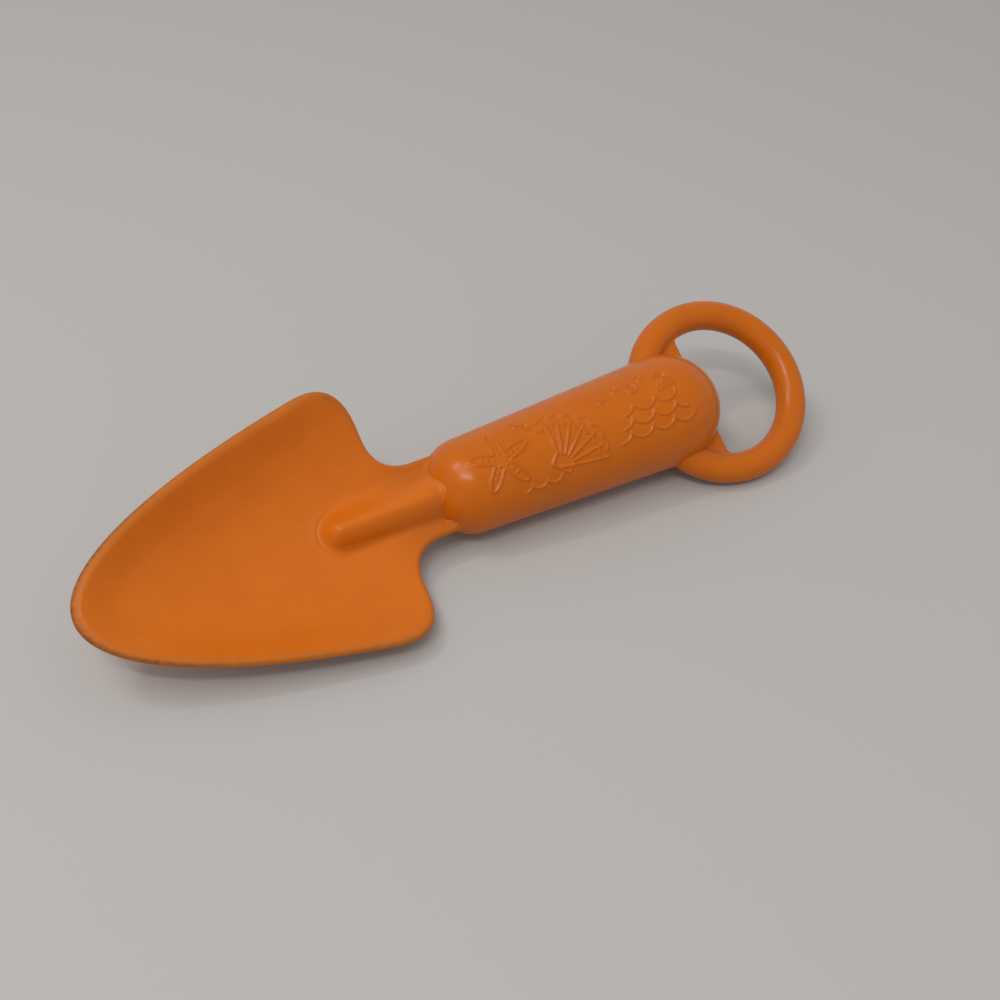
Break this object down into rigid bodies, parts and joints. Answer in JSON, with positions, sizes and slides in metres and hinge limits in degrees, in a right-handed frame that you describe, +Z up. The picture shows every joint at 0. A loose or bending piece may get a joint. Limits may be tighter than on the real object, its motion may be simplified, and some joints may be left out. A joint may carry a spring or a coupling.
{
  "type": "sand shovel",
  "caption": "Toy sand shovel: a dished, pointed blade with a centre rib, a fat tapered two-shell grip and a round pull ring webbed to the grip's domed end.",
  "frame": {"origin": "bottom centre of the space that the shovel takes as it lies on the ground, rolled over onto one side of its pull ring", "axes": "+X runs along the grip from the blade's tip to the pull ring, +Z is up, and the ground is at zero"},
  "size_m": [0.201, 0.0568, 0.0396],
  "materials": {
    "orange_polyethylene": "satin moulded polyethylene"
  },
  "bodies": {
    "root": {"blade": "orange_polyethylene", "upper_shell": "orange_polyethylene", "lower_shell": "orange_polyethylene", "pull_ring": "orange_polyethylene"}
  },
  "joints": []
}
